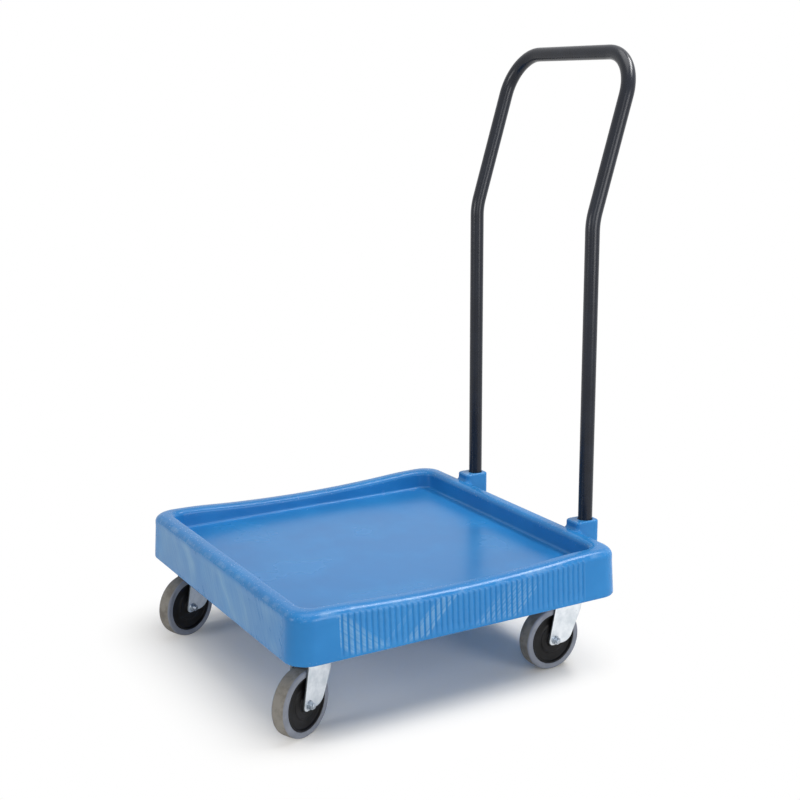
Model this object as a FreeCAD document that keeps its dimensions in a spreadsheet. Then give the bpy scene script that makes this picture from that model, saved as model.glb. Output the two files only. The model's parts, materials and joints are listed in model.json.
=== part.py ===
import FreeCAD, Part
import math
import os
import Sketcher

doc = FreeCAD.newDocument("rack_dolly")
vec = FreeCAD.Vector
TOLERANCE = 0.01  # how near an edge has to lie to the place it is looked for

# Driving dimensions, in millimetres and degrees
SIZES = (
    # moulded platform
    ("skirt_width", 590.0),
    ("skirt_length", 590.0),
    ("skirt_height", 78.0),
    ("skirt_draft", 3.6),
    ("band_margin", 2.5),
    ("corner_radius", 33.0),
    ("rim_width", 30.0),
    ("recess_depth", 33.0),
    ("recess_corner_radius", 24.0),
    ("crown_outer_radius", 11.0),
    ("crown_inner_radius", 9.0),
    ("crown_outer_share", 0.5),
    ("crown_inner_share", 0.4),
    ("deck_edge_bevel", 4.0),
    ("dip_depth", 8.5),
    ("dip_half_length", 245.0),
    ("dip_blend_share", 0.25),
    ("flute_count", 45),
    ("flute_pitch", 9.82),
    ("flute_width", 4.2),
    ("flute_depth", 1.3),
    ("flute_top_margin", 1.0),
    # sockets for the handle
    ("socket_wall", 5.5),
    ("boss_lap", 9.0),
    ("boss_rise", 13.0),
    ("boss_corner_radius", 8.0),
    ("boss_edge_bevel", 2.0),
    ("socket_floor", 11.0),
    ("socket_clearance", 0.15),
    # bent tube of the handle
    ("tube_diameter", 24.0),
    ("leg_spacing", 338.0),
    ("leg_behind_skirt", 18.5),
    ("overall_height", 1000.0),
    ("grip_rise", 267.0),
    ("lean", 17.0),
    ("bend_radius", 110.0),
    ("top_bend_radius", 72.0),
    ("screw_drop", 40.0),
    ("screw_diameter", 6.0),
    ("screw_head_diameter", 11.0),
    ("screw_head_height", 3.6),
    ("screw_bite", 8.0),
    ("screw_end_gap", 1.0),
    ("seat_clearance", 0.05),
    # caster places and the way each one points
    ("caster_inset_x", 70.0),
    ("caster_inset_y", 64.0),
    ("trail", 31.4),
    ("front_left_angle", 24.2),
    ("front_right_angle", 20.7),
    ("rear_left_angle", 2.2),
    ("rear_right_angle", 10.0),
    # swivel head
    ("stem_diameter", 12.0),
    ("stem_length", 30.0),
    ("stem_end_gap", 2.0),
    ("plate_diameter", 62.0),
    ("plate_thickness", 4.0),
    ("stem_head_diameter", 22.0),
    ("stem_head_height", 5.0),
    ("dish_diameter", 50.0),
    ("dish_height", 4.0),
    ("bearing_diameter", 46.0),
    ("bearing_height", 8.0),
    ("race_gap", 0.3),
    ("running_clearance", 0.08),
    # fork
    ("fork_sheet", 2.8),
    ("tread_side_gap", 1.7),
    ("crown_diameter", 58.0),
    ("crown_over_wheel", 5.9),
    ("leg_front_top", 33.0),
    ("leg_rear_top", 26.3),
    ("leg_tip_front", 13.8),
    ("leg_tip_drop", 8.5),
    ("leg_foot_rear", 28.6),
    ("leg_tip_radius", 7.0),
    ("leg_heel_radius", 20.0),
    ("rear_wall_drop", 24.0),
    ("fork_bend_radius", 4.5),
    # wheel and axle
    ("wheel_diameter", 105.0),
    ("tread_width", 26.0),
    ("tread_flat_width", 15.0),
    ("tread_shoulder_drop", 3.6),
    ("hub_rim_diameter", 84.0),
    ("hub_diameter", 42.0),
    ("hub_side_gap", 0.5),
    ("hub_rim_width", 3.0),
    ("dish_inset", 4.5),
    ("axle_diameter", 8.0),
    ("nut_width", 11.0),
    ("nut_height", 6.0),
)

# Values that follow from the driving dimensions
DERIVED = (
    ("wheel_radius", "=wheel_diameter / 2"),
    ("fork_gap", "=tread_width + 2 * tread_side_gap"),
    ("crown_under", "=wheel_diameter + crown_over_wheel"),
    ("crown_top", "=crown_under + fork_sheet"),
    ("plate_under", "=crown_top + dish_height + bearing_height + race_gap"),
    ("caster_height", "=plate_under + plate_thickness"),
    ("caster_spacing_x", "=skirt_width - 2 * caster_inset_x"),
    ("caster_spacing_y", "=skirt_length - 2 * caster_inset_y"),
    ("rim_top", "=caster_height + skirt_height"),
    ("band_height", "=dip_depth + crown_outer_radius + band_margin"),
    ("deck_height", "=rim_top - recess_depth"),
    ("top_inset", "=(skirt_height - band_height) * tan(skirt_draft)"),
    ("dip_reach", "=(dip_half_length ^ 2 + dip_depth ^ 2) / (2 * dip_depth)"),
    ("leg_y", "=skirt_length / 2 + leg_behind_skirt"),
    ("boss_top", "=rim_top + boss_rise"),
    ("boss_width", "=tube_diameter + 2 * (socket_clearance + socket_wall)"),
    ("boss_rear", "=leg_y + boss_width / 2"),
    ("boss_front", "=skirt_length / 2 - boss_lap"),
    ("handle_foot", "=caster_height + socket_floor"),
    ("screw_level", "=boss_top - screw_drop"),
    ("bar_height", "=overall_height - tube_diameter / 2"),
    ("bend_height", "=bar_height - grip_rise"),
    ("bar_y", "=leg_y + grip_rise * tan(lean)"),
    ("front_reach", "=caster_spacing_y / 2 + (trail + wheel_radius) * cos(front_right_angle)"
                    " + tread_flat_width / 2 * sin(front_right_angle)"),
    ("rear_reach", "=bar_y + tube_diameter / 2"),
    ("platform_y", "=(front_reach - rear_reach) / 2"),
)

sheet = doc.addObject("Spreadsheet::Sheet", "Sizes")
for row, (alias, value) in enumerate(SIZES + DERIVED, start=1):
    sheet.set(f"A{row}", alias)
    sheet.set(f"B{row}", str(value))
    sheet.setAlias(f"B{row}", alias)
doc.recompute()

subparts = []


def number(expression):
    """Value of an expression in the sheet's names."""
    return float(sheet.evalExpression(named(expression)))


def named(expression):
    """The same expression with every alias written as a cell of the sheet."""
    words = []
    word = ""
    for letter in expression + " ":
        if letter.isalnum() or letter in "_.":
            word += letter
            continue
        words.append("Sizes." + word if word in ALIASES else word)
        words.append(letter)
        word = ""
    return "".join(words).strip()


ALIASES = {alias for alias, value in SIZES + DERIVED}


def bind(thing, **expressions):
    """Bind properties to the sheet; two underscores in a name stand for a dot."""
    for name, expression in expressions.items():
        thing.setExpression(name.replace("__", "."), named(expression))
    return thing


def keep(thing, label):
    """Register a finished sub-part under its file name."""
    thing.Label = label
    subparts.append(thing)
    return thing


def new_body(name):
    return doc.addObject("PartDesign::Body", name + "_body")


def origin(body, role):
    return next(feature for feature in body.Origin.OriginFeatures if feature.Role == role)


def sketch_on(body, role, lift="0"):
    """An empty sketch on one of the body's own origin planes, lifted along its normal."""
    sketch = body.newObject("Sketcher::SketchObject", "Sketch")
    sketch.AttachmentSupport = [(origin(body, role), "")]
    sketch.MapMode = "FlatFace"
    bind(sketch, AttachmentOffset__Base__z=lift)
    return sketch


def constrain(sketch, expression, kind, *targets):
    """Add a dimension to a sketch and bind it to the sheet."""
    index = sketch.addConstraint(Sketcher.Constraint(kind, *targets, number(expression)))
    sketch.setExpression(f"Constraints[{index}]", named(expression))


def polygon(sketch, corners):
    """Closed outline of straight lines; each corner is a pair of expressions."""
    points = [vec(number(x), number(y), 0) for x, y in corners]
    first = sketch.GeometryCount
    count = len(points)
    for i in range(count):
        sketch.addGeometry(Part.LineSegment(points[i], points[(i + 1) % count]), False)
    for i in range(count):
        sketch.addConstraint(Sketcher.Constraint("Coincident", first + i, 2, first + (i + 1) % count, 1))
    for i, (x, y) in enumerate(corners):
        constrain(sketch, x, "DistanceX", -1, 1, first + i, 1)
        constrain(sketch, y, "DistanceY", -1, 1, first + i, 1)


def rectangle(sketch, left, right, low, high):
    polygon(sketch, ((left, low), (right, low), (right, high), (left, high)))


def circle(sketch, x, y, radius):
    index = sketch.addGeometry(Part.Circle(vec(number(x), number(y), 0), vec(0, 0, 1), number(radius)), False)
    constrain(sketch, x, "DistanceX", -1, 1, index, 3)
    constrain(sketch, y, "DistanceY", -1, 1, index, 3)
    constrain(sketch, radius, "Radius", index)


def rounded_rectangle(sketch, width, length, radius):
    """Rectangle about the sketch's origin with four equal corner arcs."""
    x, y, r = number(width) / 2, number(length) / 2, number(radius)
    lines = (
        (vec(r - x, -y, 0), vec(x - r, -y, 0)),
        (vec(x, r - y, 0), vec(x, y - r, 0)),
        (vec(x - r, y, 0), vec(r - x, y, 0)),
        (vec(-x, y - r, 0), vec(-x, r - y, 0)),
    )
    for start, end in lines:
        sketch.addGeometry(Part.LineSegment(start, end), False)
    centres = (vec(x - r, r - y, 0), vec(x - r, y - r, 0), vec(r - x, y - r, 0), vec(r - x, r - y, 0))
    for i, centre in enumerate(centres):
        turn = (i - 1) * math.pi / 2
        whole = Part.Circle(centre, vec(0, 0, 1), r)
        sketch.addGeometry(Part.ArcOfCircle(whole, turn, turn + math.pi / 2), False)
    for i in range(4):
        sketch.addConstraint(Sketcher.Constraint("Tangent", i, 2, 4 + i, 1))
        sketch.addConstraint(Sketcher.Constraint("Tangent", 4 + i, 2, (i + 1) % 4, 1))
    sketch.addConstraint(Sketcher.Constraint("Horizontal", 0))
    sketch.addConstraint(Sketcher.Constraint("Vertical", 1))
    for i in (5, 6, 7):
        sketch.addConstraint(Sketcher.Constraint("Equal", 4, i))
    constrain(sketch, radius, "Radius", 4)
    constrain(sketch, f"({width}) / 2", "DistanceX", -1, 1, 1, 1)
    constrain(sketch, f"({length}) / 2", "DistanceY", -1, 1, 2, 1)
    sketch.addConstraint(Sketcher.Constraint("Symmetric", 4, 3, 6, 3, -1, 1))


def pad(body, sketch, length, **settings):
    return extrude(body, "PartDesign::Pad", sketch, length, settings)


def pocket(body, sketch, length, **settings):
    return extrude(body, "PartDesign::Pocket", sketch, length, settings)


def extrude(body, kind, sketch, length, settings):
    feature = body.newObject(kind, "Extrude")
    feature.Profile = sketch
    bind(feature, Length=length)
    taper = settings.pop("taper", None)
    if taper:
        bind(feature, TaperAngle=taper)
    for name, value in settings.items():
        setattr(feature, name, value)
    doc.recompute()
    return feature


def revolve(body, sketch, axis):
    feature = body.newObject("PartDesign::Revolution", "Revolve")
    feature.Profile = sketch
    feature.ReferenceAxis = (sketch, [axis])
    feature.Angle = 360.0
    doc.recompute()
    return feature


def fillet(body, radius, chosen):
    """Round every edge of the body's shape that the given test accepts."""
    return dress(body, "PartDesign::Fillet", chosen, Radius=radius)


def chamfer(body, size, chosen):
    """Bevel every edge of the body's shape that the given test accepts."""
    return dress(body, "PartDesign::Chamfer", chosen, Size=size)


def dress(body, kind, chosen, **size):
    base = body.Tip
    names = [f"Edge{i}" for i, edge in enumerate(base.Shape.Edges, start=1) if chosen(edge)]
    feature = body.newObject(kind, "Dress")
    feature.Base = (base, names)
    bind(feature, **size)
    doc.recompute()
    return feature


def repeat(body, originals, steps):
    """Copy features by a chain of patterns and mirrors."""
    feature = body.newObject("PartDesign::MultiTransform", "Repeat")
    feature.Originals = originals
    feature.Transformations = steps
    body.Tip = feature
    doc.recompute()
    return feature


def mirror_step(body, role):
    step = body.newObject("PartDesign::Mirrored", "Mirror")
    step.MirrorPlane = (origin(body, role), [""])
    return step


def middle(edge):
    return edge.valueAt((edge.FirstParameter + edge.LastParameter) / 2)


def level(edge, height):
    """True where the whole edge lies at one height."""
    box = edge.BoundBox
    return abs(box.ZMin - height) < TOLERANCE and abs(box.ZMax - height) < TOLERANCE


def beyond(point, half_width, half_length, radius):
    """Distance of a point outside a rounded rectangle, negative inside."""
    x = abs(point.x) - half_width + radius
    y = abs(point.y) - half_length + radius
    return math.hypot(max(x, 0), max(y, 0)) + min(max(x, y), 0) - radius


# Platform: drafted skirt, dipped rim, recessed deck, flutes and handle sockets

def top_profile(sketch):
    """Everything above the rim: flat at the ends, a sag made of three tangent arcs between them."""
    total = number("dip_reach")
    blend = total * number("dip_blend_share")
    half, drop, top = number("dip_half_length"), number("dip_depth"), number("rim_top")
    turn = math.asin(half / total)
    far, high = number("skirt_length"), top + number("skirt_height")
    up = math.pi / 2
    axis = vec(0, 0, 1)
    sketch.addGeometry(Part.LineSegment(vec(-far, top, 0), vec(-half, top, 0)), False)
    left = Part.Circle(vec(-half, top - blend, 0), axis, blend)
    sketch.addGeometry(Part.ArcOfCircle(left, up - turn, up), False)
    sag = Part.Circle(vec(0, top - drop + total - blend, 0), axis, total - blend)
    sketch.addGeometry(Part.ArcOfCircle(sag, 3 * up - turn, 3 * up + turn), False)
    right = Part.Circle(vec(half, top - blend, 0), axis, blend)
    sketch.addGeometry(Part.ArcOfCircle(right, up, up + turn), False)
    sketch.addGeometry(Part.LineSegment(vec(half, top, 0), vec(far, top, 0)), False)
    sketch.addGeometry(Part.LineSegment(vec(far, top, 0), vec(far, high, 0)), False)
    sketch.addGeometry(Part.LineSegment(vec(far, high, 0), vec(-far, high, 0)), False)
    sketch.addGeometry(Part.LineSegment(vec(-far, high, 0), vec(-far, top, 0)), False)
    joins = ((0, 2, 1, 2), (1, 1, 2, 1), (2, 2, 3, 2), (3, 1, 4, 1))
    for join in joins:
        sketch.addConstraint(Sketcher.Constraint("Tangent", *join))
    for i, j in ((4, 5), (5, 6), (6, 7), (7, 0)):
        sketch.addConstraint(Sketcher.Constraint("Coincident", i, 2, j, 1))
    for i in (0, 4, 6):
        sketch.addConstraint(Sketcher.Constraint("Horizontal", i))
    for i in (5, 7):
        sketch.addConstraint(Sketcher.Constraint("Vertical", i))
    sketch.addConstraint(Sketcher.Constraint("Symmetric", 0, 2, 4, 1, -2))
    sketch.addConstraint(Sketcher.Constraint("Equal", 1, 3))
    constrain(sketch, "rim_top", "DistanceY", -1, 1, 0, 2)
    constrain(sketch, "-dip_half_length", "DistanceX", -1, 1, 0, 2)
    constrain(sketch, "-skirt_length", "DistanceX", -1, 1, 0, 1)
    constrain(sketch, "skirt_length", "DistanceX", -1, 1, 5, 1)
    constrain(sketch, "rim_top + skirt_height", "DistanceY", -1, 1, 6, 1)
    constrain(sketch, "dip_blend_share * dip_reach", "Radius", 1)
    constrain(sketch, "(1 - dip_blend_share) * dip_reach", "Radius", 2)


def make_platform():
    body = new_body("platform")
    bind(body, Placement__Base__y="platform_y")
    outline = sketch_on(body, "XY_Plane", "rim_top - band_height")
    rounded_rectangle(outline, "skirt_width - 2 * top_inset", "skirt_length - 2 * top_inset", "corner_radius")
    pad(body, outline, "band_height + crown_outer_radius")
    pad(body, outline, "skirt_height - band_height", Reversed=True, taper="skirt_draft")

    trim = sketch_on(body, "YZ_Plane")
    top_profile(trim)
    pocket(body, trim, "2 * skirt_width", SideType="Symmetric")

    mouth = sketch_on(body, "XY_Plane", "rim_top")
    rounded_rectangle(mouth, "skirt_width - 2 * (top_inset + rim_width)",
                      "skirt_length - 2 * (top_inset + rim_width)", "recess_corner_radius")
    pocket(body, mouth, "recess_depth")

    half_x = number("skirt_width / 2 - top_inset - rim_width / 2")
    half_y = number("skirt_length / 2 - top_inset - rim_width / 2")
    corner = number("(corner_radius + recess_corner_radius) / 2")
    low = number("rim_top - dip_depth") - TOLERANCE

    def on_crown(edge, sign):
        ends = [vertex.Point for vertex in edge.Vertexes] + [middle(edge)]
        sides = [sign * beyond(point, half_x, half_y, corner) > 0 for point in ends]
        return edge.BoundBox.ZMin > low and all(sides)

    fillet(body, "min(crown_outer_radius; rim_width * crown_outer_share)", lambda edge: on_crown(edge, 1))
    fillet(body, "min(crown_inner_radius; rim_width * crown_inner_share)", lambda edge: on_crown(edge, -1))
    chamfer(body, "deck_edge_bevel", lambda edge: level(edge, number("deck_height")))
    add_sockets(body)
    add_stem_bores(body)
    add_flutes(body)
    return body


def add_sockets(body):
    """Two bosses on the rear face, bored for the tube's legs and drilled for the screws."""
    outline = sketch_on(body, "XY_Plane", "caster_height")
    for side in ("-", ""):
        left = f"{side}leg_spacing / 2 - boss_width / 2"
        right = f"{side}leg_spacing / 2 + boss_width / 2"
        rectangle(outline, left, right, "boss_front", "boss_rear")
    pad(body, outline, "boss_top - caster_height")
    rear, top = number("boss_rear"), number("boss_top")

    def rear_corner(edge):
        upright = edge.BoundBox.ZLength > number("boss_rise")
        return upright and abs(middle(edge).y - rear) < TOLERANCE

    fillet(body, "boss_corner_radius", rear_corner)
    chamfer(body, "boss_edge_bevel", lambda edge: level(edge, top))

    bores = sketch_on(body, "XY_Plane", "boss_top")
    holes = sketch_on(body, "XZ_Plane", "-boss_rear")
    for side in ("-", ""):
        circle(bores, f"{side}leg_spacing / 2", "leg_y", "tube_diameter / 2 + socket_clearance")
        circle(holes, f"{side}leg_spacing / 2", "screw_level", "screw_diameter / 2 + seat_clearance")
    pocket(body, bores, "boss_top - handle_foot")
    pocket(body, holes, "boss_rear - leg_y", Reversed=True)


def add_flutes(body):
    """One upright groove cut along the drafted face, repeated along both long sides."""
    section = sketch_on(body, "XY_Plane")
    lean = FreeCAD.Rotation(vec(0, -1, 0), number("skirt_draft"))
    section.AttachmentOffset = FreeCAD.Placement(vec(), lean)
    bind(section, AttachmentOffset__Rotation__Angle="skirt_draft",
         AttachmentOffset__Base__x="skirt_width / 2",
         AttachmentOffset__Base__y="-(flute_count - 1) / 2 * flute_pitch",
         AttachmentOffset__Base__z="caster_height")
    polygon(section, (("-flute_depth", "0"), ("flute_depth", "-flute_width"), ("flute_depth", "flute_width")))
    groove = pocket(body, section, "(skirt_height - band_height - flute_top_margin) / cos(skirt_draft)",
                    Reversed=True)
    row = body.newObject("PartDesign::LinearPattern", "Row")
    row.Direction = (origin(body, "Y_Axis"), [""])
    bind(row, Length="(flute_count - 1) * flute_pitch", Occurrences="flute_count")
    repeat(body, [groove], [row, mirror_step(body, "YZ_Plane")])


def add_stem_bores(body):
    """Blind bores in the underside for the stems of the casters."""
    bores = sketch_on(body, "XY_Plane", "caster_height")
    for x in ("-", ""):
        for y in ("-", ""):
            circle(bores, f"{x}caster_spacing_x / 2", f"{y}caster_spacing_y / 2",
                   "stem_diameter / 2 + seat_clearance")
    pocket(body, bores, "stem_length + stem_end_gap", Reversed=True)


# Handle: one tube bent four times, with two screws through the sockets

def corner_arc(before, corner, after, radius):
    """Arc of the given radius, tangent to both runs that meet at a corner of the path."""
    back = (before - corner).normalize()
    ahead = (after - corner).normalize()
    half = back.getAngle(ahead) / 2
    start = corner + back * (radius / math.tan(half))
    end = corner + ahead * (radius / math.tan(half))
    centre = corner + (back + ahead).normalize() * (radius / math.sin(half))
    crest = centre + (corner - centre).normalize() * radius
    return Part.Arc(start, crest, end)


def handle_path():
    """Middle line of the tube from one socket to the other."""
    x, y = number("leg_spacing / 2"), number("leg_y")
    foot, bend, bar = number("handle_foot"), number("bend_height"), number("bar_height")
    back = number("bar_y")
    low, high = number("bend_radius"), number("top_bend_radius")
    left_leg = [vec(-x, y, foot), vec(-x, y, bend), vec(-x, back, bar)]
    right_leg = [vec(x, back, bar), vec(x, y, bend), vec(x, y, foot)]
    points = left_leg + right_leg
    edges = []
    start = points[0]
    for i, radius in enumerate((low, high, high, low), start=1):
        arc = corner_arc(points[i - 1], points[i], points[i + 1], radius)
        edges += [Part.LineSegment(start, arc.StartPoint).toShape(), arc.toShape()]
        start = arc.EndPoint
    edges.append(Part.LineSegment(start, points[-1]).toShape())
    return Part.Wire(edges)


def make_handle():
    path = doc.addObject("Part::Feature", "HandlePath")
    path.Shape = handle_path()
    ring = doc.addObject("Part::Circle", "HandleSection")
    bind(ring, Radius="tube_diameter / 2", Placement__Base__x="-leg_spacing / 2", Placement__Base__y="leg_y",
         Placement__Base__z="handle_foot")
    tube = doc.addObject("Part::Sweep", "HandleTube")
    tube.Sections = [ring]
    tube.Spine = (path, [f"Edge{i}" for i in range(1, len(path.Shape.Edges) + 1)])
    tube.Solid = True
    for side in ("-", ""):
        drill = doc.addObject("Part::Cylinder", "Drill")
        drill.Placement.Rotation = FreeCAD.Rotation(vec(1, 0, 0), -90)
        bind(drill, Radius="screw_diameter / 2 + seat_clearance", Height="tube_diameter",
             Placement__Base__x=f"{side}leg_spacing / 2", Placement__Base__z="screw_level",
             Placement__Base__y="leg_y + tube_diameter / 2 - screw_bite - screw_end_gap")
        drilled = doc.addObject("Part::Cut", "Drilled")
        drilled.Base = tube
        drilled.Tool = drill
        tube = drilled
    bind(tube, Placement__Base__y="platform_y")
    doc.recompute()
    return tube


def make_handle_screws():
    body = new_body("handle_screws")
    bind(body, Placement__Base__y="platform_y")
    heads = sketch_on(body, "XZ_Plane", "-boss_rear")
    shanks = sketch_on(body, "XZ_Plane", "-boss_rear")
    circle(heads, "leg_spacing / 2", "screw_level", "screw_head_diameter / 2")
    circle(shanks, "leg_spacing / 2", "screw_level", "screw_diameter / 2")
    head = pad(body, heads, "screw_head_height", Reversed=True)
    shank = pad(body, shanks, "boss_width / 2 - tube_diameter / 2 + screw_bite")
    repeat(body, [head, shank], [mirror_step(body, "YZ_Plane")])
    return body


# Swivel heads: a round race plate under the platform and a stem that the fork turns on

def make_race_plates():
    body = new_body("race_plates")
    bind(body, Placement__Base__y="platform_y")
    discs = sketch_on(body, "XY_Plane", "plate_under")
    for radius in ("plate_diameter / 2", "stem_diameter / 2 + seat_clearance"):
        circle(discs, "caster_spacing_x / 2", "caster_spacing_y / 2", radius)
    disc = pad(body, discs, "plate_thickness")
    repeat(body, [disc], [mirror_step(body, "YZ_Plane"), mirror_step(body, "XZ_Plane")])
    return body


def make_caster_stems():
    """Turned pins: a head under the fork and a stem through the race, up into the platform."""
    body = new_body("caster_stems")
    bind(body, Placement__Base__y="platform_y")
    head_top = "crown_under - race_gap"
    steps = (
        (f"{head_top} - stem_head_height", "stem_head_height", "stem_head_diameter / 2"),
        (head_top, f"caster_height - ({head_top}) + stem_length", "stem_diameter / 2"),
    )
    lengths = []
    for level_low, length, radius in steps:
        section = sketch_on(body, "XY_Plane", level_low)
        circle(section, "caster_spacing_x / 2", "caster_spacing_y / 2", radius)
        lengths.append(pad(body, section, length))
    repeat(body, lengths, [mirror_step(body, "YZ_Plane"), mirror_step(body, "XZ_Plane")])
    return body


# Casters: fork, axle, wheel hub and tyre, each turned to the way its caster points

def place(body, side_x, side_y, angle, ahead="0", height="0"):
    """Set a piece on a caster's swivel axis, or ahead of it along the trail, turned to the caster's angle."""
    body.Placement = FreeCAD.Placement(vec(), FreeCAD.Rotation(vec(0, 0, 1), number(angle)))
    bind(body, Placement__Rotation__Angle=angle, Placement__Base__z=height,
         Placement__Base__x=f"{side_x}caster_spacing_x / 2 + ({ahead}) * sin({angle})",
         Placement__Base__y=f"platform_y + {side_y}caster_spacing_y / 2 - ({ahead}) * cos({angle})")
    return body


def make_fork(name):
    """Folded sheet: two tapered legs, a crown between them, a short rear wall and a raised race."""
    body = new_body(name)
    profile = sketch_on(body, "YZ_Plane")
    rear_run = "(leg_rear_top + trail - leg_foot_rear) / (crown_top - wheel_radius + leg_tip_drop)"
    polygon(profile, (
        ("-leg_front_top", "crown_top"),
        ("-trail - leg_tip_front", "wheel_radius - leg_tip_drop"),
        ("leg_foot_rear - trail", "wheel_radius - leg_tip_drop"),
        ("leg_rear_top", "crown_top"),
    ))
    pad(body, profile, "fork_gap + 2 * fork_sheet", SideType="Symmetric")
    foot, top = number("wheel_radius - leg_tip_drop"), number("crown_top")
    tip_y, heel_y = number("-trail - leg_tip_front"), number("leg_foot_rear - trail")
    leg_x = number("fork_gap / 2")

    def on_foot(edge, y):
        return level(edge, foot) and abs(middle(edge).y - y) < TOLERANCE

    fillet(body, "leg_tip_radius", lambda edge: on_foot(edge, tip_y))
    fillet(body, "leg_heel_radius", lambda edge: on_foot(edge, heel_y))
    fillet(body, "fork_bend_radius", lambda edge: level(edge, top) and abs(middle(edge).x) > leg_x)

    inside = sketch_on(body, "YZ_Plane")
    far = "trail + wheel_diameter"
    wall = f"leg_rear_top - fork_sheet * sqrt(1 + ({rear_run}) ^ 2)"
    polygon(inside, (
        (f"-({far})", "0"),
        (f"-({far})", "crown_under"),
        (f"{wall} - fork_sheet * ({rear_run})", "crown_under"),
        (f"{wall} - rear_wall_drop * ({rear_run})", "crown_top - rear_wall_drop"),
        (far, "crown_top - rear_wall_drop"),
        (far, "0"),
    ))
    pocket(body, inside, "fork_gap", SideType="Symmetric")

    crown = sketch_on(body, "XY_Plane", "crown_under")
    circle(crown, "0", "0", "crown_diameter / 2")
    pad(body, crown, "fork_sheet")
    dish = sketch_on(body, "XY_Plane", "crown_top")
    circle(dish, "0", "0", "dish_diameter / 2")
    pad(body, dish, "dish_height")
    bore = sketch_on(body, "XY_Plane", "crown_under")
    circle(bore, "0", "0", "stem_diameter / 2 + running_clearance")
    pocket(body, bore, "fork_sheet + dish_height", Reversed=True)
    axle = sketch_on(body, "YZ_Plane")
    circle(axle, "-trail", "wheel_radius", "axle_diameter / 2 + seat_clearance")
    pocket(body, axle, "2 * fork_gap", SideType="Symmetric")
    return body


def make_bearing(name):
    """Sealed ring on the fork's dish, just under the race plate."""
    body = new_body(name)
    ring = sketch_on(body, "XY_Plane", "crown_top + dish_height")
    for radius in ("bearing_diameter / 2", "stem_diameter / 2 + running_clearance"):
        circle(ring, "0", "0", radius)
    pad(body, ring, "bearing_height")
    return body


def make_axle(name):
    """Axle bolt with its head and locknut clamped on the fork's legs."""
    body = new_body(name)
    outside = "fork_gap / 2 + fork_sheet"
    shank = sketch_on(body, "YZ_Plane", f"-({outside})")
    circle(shank, "0", "0", "axle_diameter / 2")
    pad(body, shank, f"2 * ({outside})")
    for start, turned in ((outside, False), (f"-({outside})", True)):
        nut = sketch_on(body, "YZ_Plane", start)
        hexagon(nut, "nut_width")
        pad(body, nut, "nut_height", Reversed=turned)
    return body


def hexagon(sketch, width):
    """Hexagon about the sketch's origin, given across its flats."""
    half, side = f"({width}) / 2", f"({width}) / sqrt(3)"
    polygon(sketch, (
        (f"{side} / 2", f"-{half}"), (side, "0"), (f"{side} / 2", half),
        (f"-{side} / 2", half), (f"-{side}", "0"), (f"-{side} / 2", f"-{half}"),
    ))


def make_hub(name):
    """Wheel core: a recessed disc inside a rim, with a thicker hub that runs on the axle."""
    body = new_body(name)
    profile = sketch_on(body, "XZ_Plane")
    end = "(fork_gap / 2 - hub_side_gap)"
    rim, dish = "(tread_width / 2)", "(tread_width / 2 - dish_inset)"
    bore = "axle_diameter / 2 + running_clearance"
    face, lip, edge = "hub_diameter / 2", "hub_rim_diameter / 2 - hub_rim_width", "hub_rim_diameter / 2"
    polygon(profile, (
        (f"-{end}", bore), (end, bore), (end, face), (dish, face), (dish, lip), (rim, lip), (rim, edge),
        (f"-{rim}", edge), (f"-{rim}", lip), (f"-{dish}", lip), (f"-{dish}", face), (f"-{end}", face),
    ))
    revolve(body, profile, "H_Axis")
    return body


def make_tread(name):
    body = new_body(name)
    profile = sketch_on(body, "XZ_Plane")
    polygon(profile, (
        ("-tread_width / 2", "hub_rim_diameter / 2"), ("tread_width / 2", "hub_rim_diameter / 2"),
        ("tread_width / 2", "wheel_radius - tread_shoulder_drop"), ("tread_flat_width / 2", "wheel_radius"),
        ("-tread_flat_width / 2", "wheel_radius"), ("-tread_width / 2", "wheel_radius - tread_shoulder_drop"),
    ))
    revolve(body, profile, "H_Axis")
    return body


keep(make_platform(), "platform")
keep(make_handle(), "push_handle")
keep(make_handle_screws(), "handle_screws")
keep(make_race_plates(), "race_plates")
keep(make_caster_stems(), "caster_stems")

casters = (("front_left", "", "-"), ("front_right", "-", "-"), ("rear_left", "", ""), ("rear_right", "-", ""))
for corner, side_x, side_y in casters:
    angle = corner + "_angle"
    for make, piece in ((make_fork, "_fork"), (make_bearing, "_bearing")):
        keep(place(make(corner + piece), side_x, side_y, angle), corner + piece)
    for make, piece in ((make_axle, "_axle"), (make_hub, "_hub"), (make_tread, "_tread")):
        body = place(make(corner + piece), side_x, side_y, angle, ahead="trail", height="wheel_radius")
        keep(body, corner + piece)
doc.recompute()

broken = [thing.Name for thing in doc.Objects if set(thing.State) & {"Invalid", "Error"}]
for part in subparts:
    if part.Shape.isNull() or not part.Shape.isValid() or not part.Shape.Solids:
        broken.append(part.Label)
if broken:
    raise SystemExit("not built: " + ", ".join(broken))

os.makedirs("parts", exist_ok=True)
for part in subparts:
    part.Shape.exportStep(f"parts/{part.Label}.step")
    print(part.Label, len(part.Shape.Solids), round(part.Shape.Volume))
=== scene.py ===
import json
import math

import bpy
import numpy as np
from mathutils import Matrix, Vector


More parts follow.
